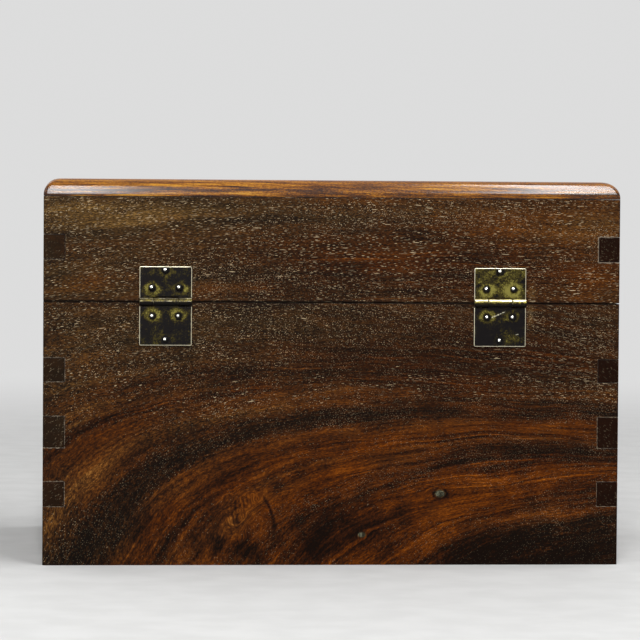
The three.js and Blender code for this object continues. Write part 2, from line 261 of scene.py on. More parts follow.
class Graph:
    """The nodes of a material or a world. Each call makes a node and gives its value."""

    def __init__(self, owner, output_kind="ShaderNodeOutputMaterial"):
        owner.use_nodes = True
        self.owner = owner
        self.tree = owner.node_tree
        self.tree.nodes.clear()
        self.surface = self.tree.nodes.new(output_kind).inputs["Surface"]

    def put(self, socket, value):
        if isinstance(value, Value):
            self.tree.links.new(value.socket, socket)
        else:
            socket.default_value = value

    def node(self, kind, inputs=(), output=0, **settings):
        made = self.tree.nodes.new(kind)
        for name, value in settings.items():
            setattr(made, name, value)
        for name, value in dict(inputs).items():
            self.put(made.inputs[name], value)
        return Value(self, made.outputs[output])

    def finish(self, shader):
        self.put(self.surface, shader)
        return self.owner

    def math(self, operation, first, second, clamp=False):
        return self.node("ShaderNodeMath", {0: first, 1: second}, operation=operation, use_clamp=clamp)

    def largest(self, first, *others):
        for other in others:
            first = self.math("MAXIMUM", first, other)
        return first

    def attribute(self, name, output="Vector"):
        return self.node("ShaderNodeAttribute", output=output, attribute_name=name)

    def place(self):
        return self.node("ShaderNodeTexCoord", output="Object")

    def parts(self, vector):
        split = self.node("ShaderNodeSeparateXYZ", {0: vector})
        return [split.output(axis) for axis in "XYZ"]

    def over(self, vector, *lengths):
        """A vector in units of one length along each axis."""
        inputs = {0: vector, 1: [1 / length for length in lengths]}
        return self.node("ShaderNodeVectorMath", inputs, operation="MULTIPLY")

    def turned(self, vector, angle, axis):
        inputs = {"Vector": vector, "Angle": angle}
        return self.node("ShaderNodeVectorRotate", inputs, rotation_type=axis)

    def noise(self, vector, detail, roughness, scale=1.0):
        inputs = {"Vector": vector, "Scale": scale, "Detail": detail, "Roughness": roughness}
        return self.node("ShaderNodeTexNoise", inputs)

    def sheared(self, vector, across_share, up_share, width, height):
        """The first two parts of a vector with shares of the third added, in units of a cell's size."""
        first, second, third = self.parts(vector)
        across = self.math("DIVIDE", first + third * across_share, width)
        up = self.math("DIVIDE", second + third * up_share, height)
        return self.node("ShaderNodeCombineXYZ", {0: across, 1: up})

    def ramp(self, factor, stops):
        made = self.node("ShaderNodeValToRGB", {0: factor})
        elements = made.socket.node.color_ramp.elements
        while len(elements) < len(stops):
            elements.new(0.5)
        for element, (place, colour) in zip(elements, stops):
            element.position = place
            element.color = colour
        return made

    def blend(self, factor, first, second):
        return self.node("ShaderNodeMix", {0: factor, 6: first, 7: second}, 2, data_type="RGBA")

    def principled(self, colour, roughness, height, relief, inputs):
        """The surface from its colour, its roughness, a height and how far and strongly that bumps it."""
        distance, strength = relief
        bump_inputs = {"Height": height, "Distance": distance, "Strength": strength}
        normal = self.node("ShaderNodeBump", bump_inputs)
        inputs = {"Base Color": colour, "Roughness": roughness, "Normal": normal, **inputs}
        return self.finish(self.node("ShaderNodeBsdfPrincipled", inputs))


def colour_stops(*rows):
    """Stops of a colour ramp, each from its place and its screen values of red, green and blue."""
    return [(place, screen_colour(*values)) for place, *values in rows]


# Wood

brown_stops = colour_stops(
    (0.0, 15, 10, 7), (0.25, 34, 24, 14), (0.5, 60, 42, 22), (0.75, 94, 69, 34), (1.0, 138, 106, 56)
)
red_stops = colour_stops(
    (0.0, 15, 6, 3), (0.25, 41, 18, 6), (0.5, 74, 34, 6), (0.75, 108, 54, 8), (1.0, 150, 86, 22)
)
# The top board's wood: paler and more golden than the walls', partly its own tone and partly painted light
# from above
golden_stops = colour_stops(
    (0.0, 44, 20, 4), (0.3, 82, 44, 7), (0.55, 120, 70, 9), (0.8, 150, 97, 17), (1.0, 172, 121, 34)
)
inside_stops = colour_stops((0.0, 44, 27, 17), (0.5, 96, 63, 38), (1.0, 146, 104, 64))
knot_stops = colour_stops((0.0, 14, 13, 10), (0.45, 46, 45, 34), (0.7, 92, 91, 74), (1.0, 150, 146, 126))
wax_colour = screen_colour(206, 184, 148)
seam_wax_colour = screen_colour(128, 116, 100)
open_pore_colour = screen_colour(14, 8, 5)

# How far the pores lean with the depth of the grain, along and across it
pore_lean = (1.7, 0.8)
dot_lean = (0.9, 0.8)
cell_turn = math.radians(37)


def pore_mask(place, reach, share):
    """Ellipses at the middles of random cells. Only a share is kept, and most of them are faint."""
    graph = place.graph
    inputs = {"Vector": graph.turned(place, cell_turn, "Z_AXIS"), "Scale": 1.0}
    distance = graph.node("ShaderNodeTexVoronoi", inputs, "Distance", voronoi_dimensions="2D")
    chance, size_chance, strength_chance = graph.parts(distance.output("Color"))
    kept = chance.window(share, share - 0.02)
    size = size_chance.window(-0.8, 0.6) * reach
    strength = graph.math("POWER", strength_chance, 2.0) * 0.76 + 0.24
    return distance.window(size, size * 0.6) * kept * strength


def wood_material(name, brown, red, roughness, specular, wax_share, darker=1.0, coat=0.0):
    """Figured wood. The mesh says where its grain runs and how light, warm, pored and streaky it is."""
    graph = Graph(bpy.data.materials.new(name))
    grain = graph.attribute("grain")
    lightness, warmth, dots = graph.parts(graph.attribute("tone"))
    pores = graph.attribute("pores", "Fac")
    contrast = graph.attribute("contrast", "Fac")
    place = graph.place()

    streaks = graph.noise(graph.over(grain, 95, 7, 10), 3, 0.55)
    lines = graph.noise(graph.over(grain, 36, 1.1, 1.6), 4, 0.65)
    fibres = graph.noise(graph.over(grain, 1.5, 0.28, 0.32), 2, 0.7)
    threads = graph.noise(graph.over(grain, 70, 0.9, 1.4), 2, 0.4)
    clouds = graph.noise(place, 3, 0.6, 60)

    brownness = warmth.window(0.9, 0.3)
    shade = lightness + streaks.swing(graph.math("MINIMUM", contrast, 1.3) * 0.5)
    shade += lines.swing((1.15 - brownness * 0.75) * contrast)
    shade += fibres.swing(brownness * 0.6 + 1.2)
    shade += threads.window(0.6, 0.72) * (0.24 - brownness * 0.18)
    shade += clouds.swing(0.15)
    shade *= darker
    hue = (warmth + streaks.swing(0.6) + clouds.swing(0.5)).clamped()
    colour = graph.blend(hue, graph.ramp(shade, brown), graph.ramp(shade, red))
    colour = graph.blend(warmth.window(-0.4, -1.0), colour, graph.ramp(shade, knot_stops))

    clusters = graph.noise(graph.over(grain, 26, 5, 7), 2, 0.6)
    share = pores * clusters.window(-1.2, 0.9) * 1.55
    dash_share = share * dots.window(0.9, 0.2)
    dashes = pore_mask(graph.sheared(grain, *pore_lean, 4.2, 0.74), 0.21, dash_share)
    long_dashes = pore_mask(graph.sheared(grain, *pore_lean, 13.0, 1.05), 0.16, dash_share * 0.32)
    upright = graph.turned(place, -math.pi / 2, "X_AXIS")
    dot_place = graph.sheared(upright, *dot_lean, 1.05 * MM, 0.95 * MM)
    specks = pore_mask(dot_place, 0.25, share * dots.window(0.05, 0.6)) * (brownness * 0.5 + 0.35)
    filled = graph.largest(dashes, long_dashes, specks)
    fill_noise = graph.noise(graph.over(grain, 16, 4, 6), 2, 0.6)
    wax = fill_noise.window(0.75, 0.4) * wax_share
    wax *= (lightness.window(0.0, 0.4) + 0.4).clamped()
    colour = graph.blend(filled * 0.82, colour, graph.blend(wax, open_pore_colour, wax_colour))

    crumbs = graph.noise(place, 2, 0.6, 700)
    seam = (graph.attribute("seam", "Fac") + crumbs.swing(1.4)).window(0.72, 0.92)
    colour = graph.blend(seam * 0.75, colour, seam_wax_colour)

    height = fibres.swing(0.5) + lines.swing(0.4) + filled * -0.5
    sheen = lines.swing(0.3) + roughness + filled * 0.2
    inputs = {"Specular IOR Level": specular, "Coat Weight": coat, "Coat Roughness": 0.14}
    return graph.principled(colour, sheen, height, (0.00012, 0.35), inputs)


def joint_line_material():
    """The thin lines along the joints: dark where they are open and pale where wax fills them."""
    graph = Graph(bpy.data.materials.new("joint_line"))
    place = graph.place()
    clumps = graph.noise(place, 3, 0.65, 110)
    crumbs = graph.noise(place, 2, 0.6, 900)
    dots = graph.parts(graph.attribute("tone"))[2]
    fill = clumps + crumbs.swing(0.6) + dots.swing(0.15, 0.4)
    colour = graph.blend(fill.window(0.52, 0.68), screen_colour(20, 12, 8), screen_colour(134, 120, 100))
    return graph.principled(colour, 0.7, crumbs, (0.0001, 0.4), {"Specular IOR Level": 0.2})


# Brass

def metal_material(name, stops, pale, roughness):
    """Old brass under a dark patina. The mesh says where it is golden, where painted shade darkens it, and
    where it is rubbed pale or carries a painted highlight.
    """
    graph = Graph(bpy.data.materials.new(name))
    place = graph.place()
    golden, rubbed, _ = graph.parts(graph.attribute("wear"))
    mottle = graph.noise(place, 4, 0.7, 330)
    specks = graph.noise(place, 3, 0.65, 1500)
    golden += mottle.swing(1.2)
    golden += specks.swing(1.8)
    rubbed += specks.swing(0.9)
    colour = graph.blend(rubbed.window(0.3, 0.9), graph.ramp(golden, stops), pale)
    gloss = specks.swing(0.3) + roughness + mottle.swing(0.2)
    height = mottle.swing(0.7) + specks.swing(0.4)
    return graph.principled(colour, gloss, height, (0.00015, 0.4), {"Metallic": 1.0})


outside_wood = wood_material("outside_wood", brown_stops, red_stops, 0.42, 0.035, 1.0)
left_end_wood = wood_material("left_end_wood", brown_stops, red_stops, 0.55, 0.03, 0.45, darker=0.5)
right_end_wood = wood_material("right_end_wood", red_stops, red_stops, 0.55, 0.03, 0.3, darker=0.17)
top_wood = wood_material("top_wood", golden_stops, golden_stops, 0.45, 0.02, 0.2, coat=0.6)
inside_wood = wood_material("inside_wood", inside_stops, inside_stops, 0.62, 0.1, 0.0)
panel_wood = wood_material("panel_wood", inside_stops, inside_stops, 0.66, 0.1, 0.0)
joint_line = joint_line_material()
leaf_stops = colour_stops((0.1, 29, 27, 27), (0.5, 68, 60, 28), (0.95, 132, 124, 62))
leaf_brass = metal_material("leaf_brass", leaf_stops, screen_colour(226, 218, 190), 0.34)
nail_stops = colour_stops((0.1, 30, 29, 28), (0.5, 52, 48, 34), (0.95, 84, 78, 48))
nail_brass = metal_material("nail_brass", nail_stops, screen_colour(238, 236, 226), 0.2)


# Meshes

def add_piece(node, mesh, materials):
    """A piece that stands for a node and rides on its body."""
    for material in materials:
        mesh.materials.append(material)
    piece = add_object(f"{node}_finish", mesh)
    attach(piece, frame["nodes"][node]["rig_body"])
    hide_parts(node)
    return piece


def grid_lines(low, high, step, marks=(), fine=()):
    """Lines from low to high. Marks are kept exactly, and fine zones (middle, reach, step) are denser."""
    kept = sorted({round(float(mark), 4) for mark in (low, high, *marks)})
    wanted = []
    for start, stop in zip(kept, kept[1:]):
        count = max(1, math.ceil((stop - start) / step))
        wanted.extend(np.linspace(start, stop, count + 1)[1:-1])
    for middle, reach, fine_step in fine:
        wanted = [line for line in wanted if abs(line - middle) > reach]
        zone = np.arange(middle - reach, middle + reach + fine_step / 2, fine_step)
        wanted.extend(line for line in zone if low < line < high)
    least = 0.35 * min([step, *(zone[2] * 2 for zone in fine)])
    wanted = [line for line in wanted if min(abs(line - mark) for mark in kept) > least]
    return np.array(sorted([*kept, *wanted]))


def cell_skin(lines, solid):
    """The skin of the solid cells of a grid: points, outward quads, and the axis and side of each."""
    padded = np.pad(solid, 1)
    shape = tuple(count + 1 for count in solid.shape)
    quads = []
    facing = []
    for axis in range(3):
        across, up = (axis + 1) % 3, (axis + 2) % 3
        for side in (-1, 1):
            beyond = np.roll(padded, -side, axis)[1:-1, 1:-1, 1:-1]
            cells = np.argwhere(solid & ~beyond)
            cells[:, axis] += side > 0
            turns = [(0, 0), (1, 0), (1, 1), (0, 1)][::side]
            loop = []
            for a, b in turns:
                corner = cells.copy()
                corner[:, across] += a
                corner[:, up] += b
                loop.append(np.ravel_multi_index(corner.T, shape))
            quads.append(np.stack(loop, 1))
            facing.extend([(axis, side)] * len(cells))
    quads = np.concatenate(quads)
    used, index = np.unique(quads, return_inverse=True)
    places = np.unravel_index(used, shape)
    points = np.stack([lines[axis][places[axis]] for axis in range(3)], 1)
    return points, index.reshape(-1, 4), facing


def new_mesh(name, points, faces, material_numbers=None, smooth=False):
    mesh = bpy.data.meshes.new(name)
    mesh.from_pydata(np.asarray(points).tolist(), [], [tuple(face) for face in faces])
    if material_numbers is not None:
        mesh.polygons.foreach_set("material_index", material_numbers)
    mesh.polygons.foreach_set("use_smooth", [smooth] * len(mesh.polygons))
    return mesh


@contextmanager
def edited(mesh):
    """The mesh in a form that can be edited. It is written back at the end."""
    bm = bmesh.new()
    bm.from_mesh(mesh)
    yield bm
    bm.to_mesh(mesh)
    bm.free()


# What every bevel shares
bevel_settings = {
    "offset_type": "OFFSET",
    "profile": 0.5,
    "affect": "EDGES",
    "clamp_overlap": True,
    "material": -1,
}


def round_edges(bm, edges, width, segments):
    made = bmesh.ops.bevel(bm, geom=edges, offset=width, segments=segments, **bevel_settings)
    for face in made["faces"]:
        face.smooth = True
    return made["faces"]


def sharp_edges(bm, degrees=40):
    limit = math.radians(degrees)
    return [edge for edge in bm.edges if len(edge.link_faces) == 2 and edge.calc_face_angle() > limit]


def mesh_points(mesh):
    flat = np.zeros(len(mesh.vertices) * 3)
    mesh.vertices.foreach_get("co", flat)
    return flat.reshape(-1, 3)


def cell_middles(lines):
    """The middles of a grid's cells along its first two axes."""
    return [(line[1:] + line[:-1]) / 2 for line in lines[:2]]


def within(values, spans):
    """Whether each value lies in one of the spans."""
    return np.any([(values > a) & (values < b) for a, b in spans], axis=0)


def write_attribute(mesh, name, values):
    vector = values.ndim == 2
    made = mesh.attributes.new(name, "FLOAT_VECTOR" if vector else "FLOAT", "POINT")
    made.data.foreach_set("vector" if vector else "value", values.astype(np.float32).ravel())


def soften_corner(first, second, radius):
    """Distances from two edges, moved so that the corner between them is round."""
    near = np.minimum(first, second)
    ring = np.maximum(radius - near, 0)
    along = np.maximum(first, second) - near
    inside = along < ring
    share = np.where(inside, 1 - along / np.where(inside, ring, 1), 0)
    angle = share * math.pi / 4
    to_near = np.where(inside, near + ring * (1 - np.cos(angle)), near)
    to_far = np.where(inside, near + ring * (1 - np.sin(angle)), near + along)
    first_is_near = first <= second
    return np.where(first_is_near, to_near, to_far), np.where(first_is_near, to_far, to_near)


# Grain and figure

def waves(points, seed, length, count=7):
    """A smooth random field of about -1 to 1, whose swells are about a length across."""
    random = np.random.default_rng(seed)
    total = np.zeros(len(points))
    for _ in range(count):
        direction = random.normal(size=points.shape[1])
        direction /= np.linalg.norm(direction)
        pitch = length * random.uniform(0.6, 1.7)
        total += np.sin(points @ direction * 2 * math.pi / pitch + random.uniform(0, 2 * math.pi))
    return total / math.sqrt(count)


def step_between(value, start, stop):
    share = np.clip((value - start) / (stop - start), 0, 1)
    return share * share * (3 - 2 * share)


def band(value, middle, reach):
    return np.exp(-(((value - middle) / reach) ** 2))


def patch_weight(x, z, middle_x, middle_z, reach, height, tilt):
    """1 at the middle of a tilted ellipse, and less around it."""
    turn = math.radians(tilt)
    along = (x - middle_x) * math.cos(turn) + (z - middle_z) * math.sin(turn)
    across = (z - middle_z) * math.cos(turn) - (x - middle_x) * math.sin(turn)
    return np.exp(-((along / reach) ** 2) - (across / height) ** 2)


@dataclass
class Figure:
    """What a board's mesh carries for its wood: grain coordinates and tones at each point."""
    grain: np.ndarray
    lightness: np.ndarray
    warmth: np.ndarray
    dots: np.ndarray
    pores: np.ndarray
    contrast: float = 1.0

    def add(self, weight, lightness, warmth=0.0, pores=0.0, dots=0.0):
        """Changes the tones by a weight at each point."""
        self.lightness += lightness * weight
        self.warmth += warmth * weight
        self.pores += pores * weight
        self.dots += dots * weight

    def add_patches(self, patches, x, z):
        for patch in patches:
            self.add(patch_weight(x, z, *patch[:5]), *patch[5:])

    def write(self, mesh):
        write_attribute(mesh, "grain", self.grain)
        tone = (self.lightness, self.warmth, np.clip(self.dots, 0, 1))
        write_attribute(mesh, "tone", np.stack(tone, 1))
        write_attribute(mesh, "pores", np.clip(self.pores, 0, 1))
        write_attribute(mesh, "contrast", self.contrast + 0 * self.pores)


def straight_figure(points, seed, lightness=0.46, warmth=0.3, pores=0.3, dots=0.2, slope=0.02):
    """A plainly sawn board, whose fibres run along the first axis and wander a little."""
    along, across, deep = points.T
    stretched = np.stack([along / 4, across, deep], 1)
    wander = 2.2 * waves(stretched, seed, 55) + slope * along
    offset = np.random.default_rng(seed).uniform(-400, 400, 3)
    sheets = np.stack([along / 7, across + wander, deep * 1.5], 1)
    return Figure(
        np.stack([along, across + wander, deep], 1) + offset,
        lightness + 0.09 * waves(sheets, seed + 1, 26),
        warmth + 0.2 * waves(sheets, seed + 2, 40),
        dots + 0.25 * waves(sheets, seed + 3, 30),
        pores + 0.12 * waves(sheets, seed + 4, 30),
    )


# Figure of the case's back board: growth lines that climb from the lower left and flatten out
crest_at_gold_line = 46.6
gold_line = 84.9
crest_shift = 3.0
gentle_climb = 0.00095
steep_climb = 40.0
steep_reach = 192.0
gentle_fall = 0.0003


def crest(level):
    """Where, from left to right, the growth line of a level is highest."""
    return crest_at_gold_line + crest_shift * (gold_line - level)


def sag(short):
    """How far below its crest a growth line is, at a distance short of the crest or past it."""
    before = np.clip(short, 0, None)
    past = np.clip(short, None, 0)
    return gentle_climb * before**2 + steep_climb * (before / steep_reach) ** 8 + gentle_fall * past**2


def growth_level(x, z):
    """The level of the growth line through each point, found by halving."""
    low = np.full(len(x), -200.0)
    high = np.full(len(x), 320.0)
    for _ in range(36):
        middle = (low + high) / 2
        above = middle - sag(crest(middle) - x) > z
        high = np.where(above, middle, high)
        low = np.where(above, low, middle)
    return (low + high) / 2


# The knots and the burl: x, z and radius of each
pin_knot = (56.5, 37.2, 2.5)
pale_knot = (15.6, 15.8, 1.9)
burl = (-45.0, 27.0, 11.0)
knot_warmth = -1.0
knot_lightness = 0.42
# How much longer a knot is along the board than across it, and how dark the ring round each one is
knot_aspect = 1.4
knot_rings = ((pin_knot, 0.5), (pale_knot, 0.1))
# How much longer the bends of the growth lines are than they are high
bend_aspect = 2.2

# Bands along growth lines: the level, the reach, the places between which the band fades in from left to
# right or from right to left, and what it adds to the lightness, the warmth, the pores and the dots
case_back_bands = [
    (107.0, 1.3, 10, -60, 0.07, -0.1),
    (106.0, 2.6, -60, -10, -0.06, 0.0, 0.1),
    (110.0, 1.3, 60, 100, 0.08, 0.1, 0.1),
    (102.5, 1.5, 0, -60, -0.05, 0.1, 0.1),
    (94.2, 1.8, 0, -60, -0.12, 0.25, 0.15),
    (90.6, 2.0, -80, -125, 0.1, -0.1, -0.1),
    (86.2, 1.7, 40, -50, 0.11, -0.2, -0.2),
    (87.2, 0.35, 20, -50, 0.14, -0.15, 0.1),
    (88.4, 0.3, 0, -50, 0.14, -0.15, 0.2),
    (89.5, 0.3, -40, -70, 0.12, -0.15, 0.2),
    (93.2, 0.35, -80, -105, 0.16, -0.2),
    (96.4, 0.3, -95, -115, 0.18, -0.25),
    (99.0, 0.35, -90, -115, 0.16, -0.2),
    (66.6, 0.3, -30, -60, 0.13, -0.1),
    (64.2, 0.3, -40, -70, 0.13, -0.1),
    (85.0, 1.2, -60, 0, 0.06, 0.0, -0.1),
    (84.5, 3.4, 70, 125, -0.15, 0.0, 0.25, 0.4),
    (79.6, 3.8, 50, -50, -0.27, -0.22, 0.1, 0.2),
    (80.0, 3.2, -40, 30, -0.14, -0.05, 0.25, 0.3),
    (74.2, 2.2, -200, -100, 0.06, 0.0, -0.3),
    (71.2, 0.5, -30, 40, 0.08, 0.0, -0.2),
    (75.2, 0.4, -60, 0, 0.07, 0.0, 0.1),
    (69.5, 3.4, -200, -100, 0.04, 0.1, -0.2),
    (61.0, 5.4, 40, 75, -0.21, 0.05, 0.35, 0.3),
    (62.5, 2.6, -100, -25, 0.11, -0.05, -0.3),
    (65.4, 0.5, -100, -25, 0.14, -0.15, -0.1),
    (49.6, 0.7, 50, 85, 0.12, 0.1, 0.1),
    (56.0, 2.4, -60, -10, -0.08, 0.0, 0.1),
    (46.5, 5.0, 25, 60, 0.06, 0.15, -0.1),
]

# Patches of figure: x and z, half the length and half the height, the tilt in degrees, and what the patch
# adds to the lightness, the warmth, the pores and the dots
case_back_patches = [
    (-121, 47, 19, 8, 43, 0.21, -0.2, -0.2),
    (-76, 41, 24, 7, 33, -0.02, -0.2, -0.1),
    (60, 33, 34, 8, 8, 0.12, 0.3, -0.35),
    (93, 30, 8, 4, 10, 0.12, 0.1, -0.3),
    (103, 131, 1.6, 7, 0, 0.3, -0.5, 0.5),
    (14, 15, 15, 11, 38, -0.36, 0.3, -0.35),
    (-10, 8, 11, 7, 20, -0.28, 0.1, -0.2),
    (30, 6, 7, 5, 30, -0.14, 0.2, -0.2),
    (0, 45, 22, 7, 25, 0.1, 0.3, -0.2),
    (-59, 27.5, 3.4, 4.4, 20, -0.14, 0.0, -0.2),
    (-59.2, 10.5, 3.4, 6.4, 0, -0.4, -0.1, -0.2),
    (-46, 8.5, 7.0, 4.6, -20, -0.42, -0.1, -0.2),
    (-69.5, 9, 3.2, 7, 0, -0.28, 0.0, -0.2),
    (-28.5, 41.5, 4.4, 3.2, 25, -0.34, 0.0, 0.3),
    (-18, 47.5, 8, 3, 30, -0.24, 0.1, 0.1),
    (-17, 24.5, 8, 3, 28, -0.26, 0.1, 0.2),
    (-35, 5, 8, 3, 0, 0.08, 0.1, 0.0),
    (-52, 19, 10, 5, 30, 0.06, -0.1, -0.3),
    (-84, 15, 24, 3.5, 54, -0.06, -0.1, 0.15, -0.3),
    (128, 38, 16, 8, 12, -0.08, 0.05, 0.25, 0.4),
    (-118, 66, 36, 17, 28, -0.03, 0.4, -0.1),
    (-128, 54, 22, 13, 35, 0.02, 0.1, -0.35, 0.2),
    (118, 108, 34, 14, 0, -0.02, 0.05, 0.08, -0.1),
    (60, 108, 90, 26, 0, -0.12, 0.34, 0.0, 0.15),
    (0, 119, 75, 15, 0, 0.0, 0.0, 0.05, 0.4),
    (-45, 96, 60, 9, 5, 0.0, 0.0, -0.14, 0.3),
    (-138, 6, 22, 12, 30, -0.16, -0.35, 0.1, 0.4),
    (-108, 18, 22, 9, 50, -0.14, -0.3, 0.1, 0.3),
]


def case_back_growth(x, z):
    """The growth line's level at each point, bent round the knots and tangled in the burl."""
    flat = np.stack([x / bend_aspect, z], 1)
    bent_z = z + 0.9 * waves(flat, 41, 26) + 0.35 * waves(flat, 42, 9)
    for knot_x, knot_z, radius in (pin_knot, pale_knot):
        apart = ((x - knot_x) / bend_aspect) ** 2 + (z - knot_z) ** 2
        bent_z -= 0.85 * (z - knot_z) * np.exp(-apart / (2.1 * radius) ** 2)
    in_burl = patch_weight(x, z, burl[0], burl[1], burl[2], burl[2], 0)
    bent_z += in_burl * 1.8 * waves(np.stack([x, z], 1), 43, 9)
    return growth_level(x, bent_z), in_burl


def add_burl_marks(figure, x, z, in_burl):
    """A dark curve and a comb of short barbs beside the burl."""
    climb_of_curve = np.clip((z - 17.7) / 19.4, 0, None)
    curve = band(x + 30 + 6.9 * climb_of_curve**2.2, 0, 0.75) * band(z, 27.5, 10)
    barbs = np.sin(2 * math.pi * (x + 0.15 * z) / 2.2 + 1.2 * waves(np.stack([x, z], 1), 49, 5))
    comb = patch_weight(x, z, -47.5, 32, 7, 3.6, 42)
    figure.lightness += -0.46 * curve - 0.34 * comb * step_between(barbs, -0.2, 0.6)
    figure.lightness += in_burl * 0.08 * waves(np.stack([x / 0.7, z], 1), 48, 6)


def add_knots(figure, x, z):
    """Grey knots, each in a broken dark ring."""
    for (knot_x, knot_z, radius), ring_dark in knot_rings:
        apart = np.hypot((x - knot_x) / knot_aspect, z - knot_z)
        broken = 0.65 + 0.35 * np.sin(2.3 * np.arctan2(z - knot_z, x - knot_x) + 1)
        figure.lightness -= ring_dark * band(apart, radius, 0.6) * broken
        inside = step_between(apart, radius, radius * 0.65)
        figure.warmth += (knot_warmth - figure.warmth) * inside
        figure.lightness += (knot_lightness - figure.lightness) * inside


def case_back_figure(points):
    x, z, deep = points.T
    level, in_burl = case_back_growth(x, z)
    short = np.clip(crest(level) - x, 0, steep_reach)
    steps = np.linspace(0, steep_reach, 400)
    climb = np.gradient(sag(steps), steps)
    stretch = np.concatenate([[0], np.cumsum(np.hypot(1, climb[1:]) - 1) * (steps[1] - steps[0])])
    along = x - np.interp(short, steps, stretch)
    grain = np.stack([along, level + 1.2 * in_burl * waves(points, 44, 8), deep], 1)
    steep = np.interp(short, steps, climb)

    sheets = np.stack([along / 8, level, 0 * level], 1)
    plumes = np.stack([along / 3.5, level, 0 * level], 1)
    lower = step_between(level, 120, 50)
    lightness = 0.335 + (0.035 + 0.02 * lower) * waves(sheets, 45, 9)
    lightness += (0.025 + 0.02 * lower) * waves(sheets, 46, 3.5) + 0.05 * lower * waves(plumes, 50, 6)
    lightness += 0.05 * step_between(x, -60, -140) * step_between(level, 96, 110)
    lightness -= 0.045 * step_between(level, 92, 106)
    warmth = 0.24 + 0.71 * lower + 0.1 * step_between(x, 20, 120) * (1 - lower)
    warmth += 0.08 * waves(sheets, 47, 18)
    dots = 0.38 + 0.55 * step_between(level, 92, 80) * (0.6 + 0.4 * step_between(steep, 0.02, 0.2))
    figure = Figure(grain, lightness, warmth, dots, np.full(len(x), 0.43))

    low_right = step_between(level, 33.5, 29.0) * step_between(x, 10, 60)
    figure.add(step_between(steep, 0.1, 0.35), 0.0, pores=-0.2, dots=0.35)
    figure.add(low_right, -0.36, -0.3 * step_between(x, 60, 120))
    for middle, reach, fades_at, full_at, *tones in case_back_bands:
        figure.add(band(level, middle, reach) * step_between(x, fades_at, full_at), *tones)
    figure.add_patches(case_back_patches, x, z)
    add_burl_marks(figure, x, z, in_burl)
    add_knots(figure, x, z)
    figure.warmth = np.clip(figure.warmth, -1.2, 1.0)
    return figure


# Figure of the lid's back board: level lines that climb a little at the left
lid_crest = -27.0
lid_climb = 0.0006

# Rows as in the case's list
lid_back_patches = [
    (-118, 181, 62, 8, 0, 0.2, -0.25, 0.1),
    (-135, 185, 40, 5, 0, 0.08, -0.15, 0.1),
    (138, 180, 26, 8, 0, 0.18, -0.1, 0.0),
    (-126, 150, 14, 8, 8, 0.1, 0.1, 0.0),
    (30, 154, 95, 24, 0, -0.12, 0.32, 0.03),
    (104, 142, 2.0, 5, 0, 0.3, -0.5, 0.5),
    (132, 150, 16, 14, 0, 0.08, 0.1, 0.0),
    (30, 182, 60, 6, 2, 0.04, -0.15, 0.1),
    (105, 150, 50, 9, 0, -0.03, 0.22, 0.0, 0.4),
    (-50, 150, 60, 10, 0, -0.05, 0.0, 0.05, 0.3),
    (139, 166, 4, 9, 0, 0.0, 0.0, 0.1, 1.4),
]


def lid_back_figure(points):
    x, z, deep = points.T
    short = np.clip(lid_crest - x, 0, None)
    flat = np.stack([x / 3, z], 1)
    level = z + lid_climb * short**2 + 0.8 * waves(flat, 61, 22)
    sheets = np.stack([x / 9, level, 0 * level], 1)
    figure = Figure(
        np.stack([x + 700, level + 300, deep + 50], 1),
        0.365 + 0.045 * waves(sheets, 62, 9) + 0.035 * waves(sheets, 63, 3.2),
        0.22 + 0.18 * step_between(x, -80, 120) + 0.09 * waves(sheets, 64, 16),
        0.25 + 0.15 * waves(flat, 65, 40),
        np.full(len(x), 0.46),
    )
    figure.add(band(level, 179.3, 0.8) * step_between(x, 60, -60), -0.24)
    figure.add(band(level, 176.6, 1.6) * step_between(x, 0, -60), -0.05)
    figure.add_patches(lid_back_patches, x, z)
    return figure


def top_figure(points):
    """The top board's grain, which turns with the rounded edges so that its lines don't smear."""
    x, y, z = points.T
    sunk = z - top_high[2]
    sideways = 0.55 * (y - 0.3 * sunk * np.tanh(y / 40))
    laid = np.stack([x, sideways, sunk], 1)
    figure = straight_figure(laid, 81, 0.46, 0.5, 0.1, 0.0, 0.012)
    low = step_between(sunk, 0, -4.0)
    edge_start = half_depth - 2 * top_round_radius
    on_end = step_between(np.abs(x), half_width - top_round_radius, half_width - 1)
    on_side = low * step_between(np.abs(y), edge_start, edge_start + top_round_radius)
    figure.contrast = 2.2 + (4.8 * on_side - 1.2 * (low - on_side)) * (1 - on_end)
    figure.lightness -= 0.04 * low + 0.14 * step_between(sunk, -3.0, -6.5) + 0.1 * on_end
    figure.lightness += 0.1 * band(y, 0, 60) * waves(np.stack([x / 5, y], 1), 82, 30)
    return figure


# Boards

@dataclass
class Side:
    """A side of the box: the way that its boards run, and the way that they face."""
    along: tuple
    out: tuple
    reach: float
    plain_end: float
    band_end: float
    shrink: float

    def matrix(self):
        columns = (Vector(self.along), Vector((0, 0, 1)), Vector(self.out))
        return Matrix(columns).transposed().to_4x4() @ Matrix.Scale(MM, 4)


socket_end = half_width - board_thickness - glue_line
shoulder_end = half_depth - board_thickness - glue_line
sides = {
    "back": Side((1, 0, 0), (0, -1, 0), half_depth, half_width, socket_end, 0),
    "front": Side((-1, 0, 0), (0, 1, 0), half_depth, half_width, socket_end, 0),
    "left": Side((0, -1, 0), (-1, 0, 0), half_width, shoulder_end, half_depth, glue_line),
    "right": Side((0, 1, 0), (1, 0, 0), half_width, shoulder_end, half_depth, glue_line),
}


def finger_bands(low, high, widths):
    middle = (low + high) / 2 + finger_rise
    count = len(widths)
    centres = [middle + (i - (count - 1) / 2) * finger_pitch for i in range(count)]
    return [(centre - width / 2, centre + width / 2) for centre, width in zip(centres, widths)]


# Pale wax at the left and right joints of a board. Elsewhere there is a little.
seam_amounts = {"lid_back_board": (0.7, 1.05), "case_back_board": (0.9, 0.75)}
seam_reach = 0.3


